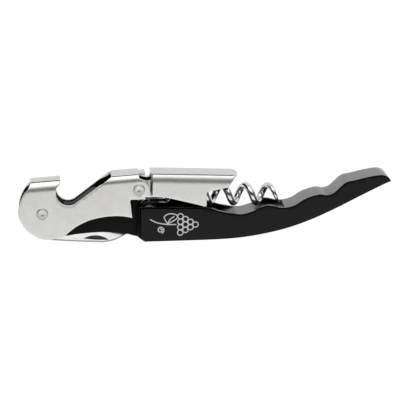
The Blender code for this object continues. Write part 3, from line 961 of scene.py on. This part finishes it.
class Nodes:
    """Short calls for building a node tree."""

    def __init__(self, name):
        self.material = bpy.data.materials.new(name)
        self.material.use_nodes = True
        self.tree = self.material.node_tree
        self.shader = self.tree.nodes["Principled BSDF"]
        self.coords = self.tree.nodes.new("ShaderNodeTexCoord")

    def add(self, kind, inputs=None, **settings):
        node = self.tree.nodes.new(kind)
        for key, value in settings.items():
            setattr(node, key, value)
        for key, value in (inputs or {}).items():
            if isinstance(value, bpy.types.NodeSocket):
                self.tree.links.new(value, node.inputs[key])
            else:
                node.inputs[key].default_value = value
        return node

    def noise(self, scale, stretch=(1.0, 1.0, 1.0), detail=3.0, roughness=0.5):
        """Noise in millimetres, stretched along an axis."""
        mapped = self.add("ShaderNodeMapping", {"Vector": self.coords.outputs["Object"],
                                                "Scale": [s / MM for s in stretch]})
        return self.add("ShaderNodeTexNoise", {"Vector": mapped.outputs["Vector"], "Scale": scale,
                                               "Detail": detail, "Roughness": roughness}).outputs["Fac"]

    def span(self, value, low, high, in_low=0.3, in_high=0.7):
        return self.add("ShaderNodeMapRange", {"Value": value, "From Min": in_low, "From Max": in_high,
                                               "To Min": low, "To Max": high}).outputs["Result"]

    def blend(self, factor, first, second):
        node = self.add("ShaderNodeMix", data_type="RGBA")
        self.tree.links.new(factor, node.inputs["Factor"])
        node.inputs["A"].default_value = (*first, 1.0)
        node.inputs["B"].default_value = (*second, 1.0)
        return node.outputs["Result"]

    def bump(self, height, distance, strength=1.0):
        node = self.add("ShaderNodeBump", {"Height": height, "Distance": distance * MM, "Strength": strength})
        return node.outputs["Normal"]

    def set(self, **inputs):
        for key, value in inputs.items():
            socket = self.shader.inputs[key.replace("_", " ")]
            if isinstance(value, bpy.types.NodeSocket):
                self.tree.links.new(value, socket)
            else:
                socket.default_value = value
        return self.material


def satin_steel(name, light, dark, rough=(0.3, 0.38)):
    """Rolled sheet, tumbled to a satin: a soft mottle, fine grain along X and faint handling marks."""
    made = Nodes(name)
    grain = made.noise(5.0, (0.12, 1.0, 1.0), 4.0)
    mottle = made.noise(0.25, detail=3.0)
    marks = made.noise(1.2, (0.5, 1.0, 1.0), 6.0, 0.65)
    colour = made.blend(made.span(mottle, 0.0, 1.0), light, dark)
    height = made.add("ShaderNodeMath", {0: grain, 1: made.span(marks, 0.0, 0.6)}, operation="ADD")
    normal = made.bump(height.outputs[0], 0.004, 0.5)
    return made.set(Base_Color=colour, Metallic=1.0, Roughness=made.span(marks, *rough), Normal=normal)


def painted_shade_inside():
    """Painted shade: the channels' insides are coloured near-black for the shade inside them."""
    made = Nodes("channel_inside_painted_shade")
    mottle = made.noise(0.6, detail=4.0)
    colour = made.blend(made.span(mottle, 0.0, 1.0), (0.02, 0.02, 0.02), (0.035, 0.034, 0.033))
    return made.set(Base_Color=colour, Metallic=1.0, Roughness=made.span(mottle, 0.42, 0.55),
                    Normal=made.bump(mottle, 0.01))


def plain_metal(name, colour, rough):
    """A metal finish too small in the view to need grain."""
    made = Nodes(name)
    cloud = made.noise(0.8, detail=3.0)
    tint = made.blend(made.span(cloud, 0.0, 1.0), colour, tuple(c * 0.8 for c in colour))
    return made.set(Base_Color=tint, Metallic=1.0, Roughness=rough)


def polished_steel(name, colour, rough):
    """Bright metal with the faint swirls of a polishing wheel."""
    made = Nodes(name)
    swirl = made.noise(0.8, (0.4, 1.0, 1.0), 4.0)
    fine = made.noise(6.0, (0.2, 1.0, 1.0), 2.0)
    tint = made.blend(made.span(swirl, 0.0, 1.0), colour, tuple(c * 0.93 for c in colour))
    return made.set(Base_Color=tint, Metallic=1.0, Roughness=made.span(swirl, rough, rough * 1.6),
                    Normal=made.bump(fine, 0.002, 0.4))


def black_anodised(name, low, high):
    """Bead-blasted and anodised black: a fine even grain with a low sheen."""
    made = Nodes(name)
    grain = made.noise(9.0, detail=2.0)
    cloud = made.noise(0.12, detail=3.0)
    colour = made.blend(made.span(cloud, 0.0, 1.0), (low, low, low * 1.03), (high, high, high * 1.03))
    return made.set(Base_Color=colour, Metallic=0.9, Roughness=made.span(cloud, 0.28, 0.34),
                    Normal=made.bump(grain, 0.004, 0.35), Sheen_Weight=0.5, Sheen_Roughness=0.3)


def neck_black():
    """The neck's flat black, without the grip's sheen."""
    made = Nodes("neck_black")
    grain = made.noise(6.0, detail=3.0)
    colour = made.blend(made.span(grain, 0.0, 1.0), (0.009, 0.009, 0.0095), (0.0125, 0.0125, 0.013))
    return made.set(Base_Color=colour, Roughness=0.5, Normal=made.bump(grain, 0.006), Specular_IOR_Level=0.06)


def engraved_grey():
    """The frosted ground that engraving leaves."""
    made = Nodes("engraving_grey")
    frost = made.noise(6.0, detail=3.0)
    colour = made.blend(made.span(frost, 0.0, 1.0), (0.62, 0.62, 0.62), (0.74, 0.74, 0.74))
    return made.set(Base_Color=colour, Metallic=0.2, Roughness=0.55, Normal=made.bump(frost, 0.01))


def floor_white():
    """A pale floor that glows by itself, so that it stays an even white."""
    made = Nodes("studio_floor")
    return made.set(Base_Color=(0.08, 0.08, 0.08, 1.0), Roughness=0.9, Emission_Color=(1.0, 1.0, 1.0, 1.0),
                    Emission_Strength=0.97, Specular_IOR_Level=0.0)


# ---------------------------------------------------------------- assembly

def dress(piece, body, nodes, materials):
    """Gives a piece its materials, and its place in the frame.

    Old materials are popped, because clear() would also forget which face has which.
    """
    while piece.data.materials:
        piece.data.materials.pop()
    for made in materials:
        piece.data.materials.append(made)
    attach(piece, body)
    if nodes:
        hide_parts(*nodes)


def add_handle():
    blacks = [black_anodised("handle_black", 0.0105, 0.0135), neck_black()]
    # The grip's edges take a lighter copy of the black: a painted sheen for their grazing reflection.
    blacks.append(black_anodised("handle_rim_painted_sheen", 0.085, 0.1))
    # The broken corners are painted near-black: painted shade that outlines the grip.
    blacks.append(plain_metal("handle_edge_painted_shade", (0.0015, 0.0015, 0.0015), 0.6))
    dress(make_handle(), "handle", ["handle_body"], blacks)
    dress(make_ornament(), "handle", [], [engraved_grey()])


def add_lever():
    steel = satin_steel("lever_satin", (0.66, 0.655, 0.64), (0.62, 0.615, 0.60))
    # The web's darker copy of the steel is painted shade.
    web = satin_steel("lever_web_painted_shade", (0.59, 0.585, 0.575), (0.55, 0.545, 0.535))
    # The crease's near-black strip is a painted shade line.
    crease = plain_metal("lever_crease_painted_shade", (0.07, 0.069, 0.068), 0.4)
    # Material 1, on the channels' inner faces, is painted shade.
    steel_and_painted_shade = [steel, painted_shade_inside(), crease, web]
    dress(make_arm(), "arm", ["lever_arm"], steel_and_painted_shade)
    dress(make_boot(), "boot", ["lever_boot"], steel_and_painted_shade)


def add_worm():
    chrome = polished_steel("worm_chrome", (0.62, 0.62, 0.62), 0.05)
    # The eye's dark copy of the chrome is painted shade from the slot.
    eye_painted_shade = polished_steel("worm_eye_painted_shade", (0.09, 0.09, 0.09), 0.12)
    dress(make_worm(), "worm", ["worm"], [chrome, eye_painted_shade])


def add_knife():
    ground = polished_steel("blade_ground", (0.70, 0.70, 0.70), 0.16)
    # The nick's near-black is painted shade in the recess.
    nick_painted_shade = plain_metal("blade_nick_painted_shade", (0.06, 0.058, 0.055), 0.45)
    # The grey strip along the back is painted shade standing for a bevel.
    spine_painted_shade = plain_metal("blade_spine", (0.34, 0.335, 0.33), 0.35)
    dress(make_blade(), "knife", ["knife_blade"], [ground, nick_painted_shade, spine_painted_shade])


def add_rivets_and_pins():
    steel = satin_steel("rivet_satin", (0.6, 0.595, 0.58), (0.55, 0.545, 0.53), (0.25, 0.34))
    lever_rivet = make_rivet("lever_rivet_skin", LEVER_PIVOT, ARM_HALF_AT_RIVET)
    boot_rivet = make_rivet("boot_rivet_skin", BOOT_PIVOT, ARM_HALF_AT_HINGE)
    worm_pin = make_pin("worm_pin_skin", WORM_PIVOT, WORM_PIN_R, *WORM_PIN_Z)
    spring_pin = make_pin("spring_pin_skin", SPRING_PIN_AT, SPRING_PIN_R, *SPRING_PIN_Z)
    for piece, body, node in ((lever_rivet, "handle", "lever_rivet"), (boot_rivet, "arm", "boot_rivet"),
                              (worm_pin, "handle", "worm_pin"), (spring_pin, "handle", "spring_pin")):
        soften_shading(piece, 40.0)
        dress(piece, body, [node], [steel])


def add_blade_spring():
    dark = satin_steel("spring_dark", (0.3, 0.3, 0.31), (0.22, 0.22, 0.23), (0.35, 0.45))
    spring = make_blade_spring()
    soften_shading(spring)
    dress(spring, "handle", ["blade_spring"], [dark])


def add_ring(node, body, at, radii, heights, finish):
    ring = sleeve(node + "_skin", at, *radii, *heights)
    soften_shading(ring)
    dress(ring, body, [node], [finish])


def add_washers_and_sleeves():
    """The paired rings lie as far in front of the middle plane as behind it."""
    steel = satin_steel("washer_satin", (0.5, 0.5, 0.49), (0.42, 0.42, 0.41))
    for side, end in ((1, "front"), (-1, "rear")):
        for stem, body, at, radii, heights in PAIRED_RINGS:
            add_ring(stem + end, body, at, radii, sorted(side * z for z in heights), steel)
    add_ring("boot_spacer", "arm", BOOT_PIVOT, (HOLE_R, 1.95), (-2.55, 2.55), steel)


# ---------------------------------------------------------------- studio

def add_light(name, spot, size, power):
    """A soft box that faces the middle of the floor."""
    data = bpy.data.lights.new(name, "AREA")
    data.shape = "RECTANGLE"
    data.size, data.size_y = size
    data.energy = power
    light = bpy.data.objects.new(name, data)
    bpy.context.scene.collection.objects.link(light)
    light.location = spot
    light.rotation_euler = (-Vector(spot)).to_track_quat("-Z", "Y").to_euler()


def build_studio():
    floor_z = cad_box[0][2] - FLOOR_GAP * MM
    corners = [(-1, -1), (1, -1), (1, 1), (-1, 1)]
    points = [Vector((x * FLOOR_REACH, y * FLOOR_REACH, floor_z)) for x, y in corners]
    floor = make_piece("studio_floor", points, [(0, 1, 2, 3)])
    floor.data.materials.append(floor_white())
    add_light("overhead", (0.03, -0.26, 0.49), (0.9, 0.44), 1.46)
    add_light("back_box", (0.0, 0.509, 0.318), (1.0, 0.55), 3.05)
    world = bpy.data.worlds.new("studio")
    world.use_nodes = True
    background = world.node_tree.nodes["Background"]
    background.inputs["Color"].default_value = (0.80, 0.80, 0.80, 1.0)
    background.inputs["Strength"].default_value = 0.16
    bpy.context.scene.world = world


def build_camera():
    """Looks down on the front face, from a little towards the lever's side and the claw's end."""
    tilt = math.radians(CAMERA_TILT)
    yaw = math.radians(CAMERA_YAW)
    out = Vector((-math.sin(yaw) * math.cos(tilt), math.sin(tilt), math.cos(yaw) * math.cos(tilt)))
    ahead = -out
    right = (Vector((1, 0, 0)) - ahead * ahead.x).normalized()
    up = right.cross(ahead)
    data = bpy.data.cameras.new("camera")
    data.sensor_width = SENSOR
    data.lens = SENSOR * CAMERA_DISTANCE / FIELD_WIDTH
    data.clip_start = 0.01
    camera = bpy.data.objects.new("camera", data)
    bpy.context.scene.collection.objects.link(camera)
    spot = place_at(*CAMERA_TARGET, 0.0) + out * CAMERA_DISTANCE * MM
    turn = Matrix((right, up, out)).transposed().to_4x4()
    camera.matrix_world = Matrix.Translation(spot) @ turn
    bpy.context.scene.camera = camera


bpy.context.scene.view_settings.view_transform = "Standard"
build_camera()
add_handle()
add_lever()
add_worm()
add_knife()
add_rivets_and_pins()
add_blade_spring()
add_washers_and_sleeves()
build_studio()
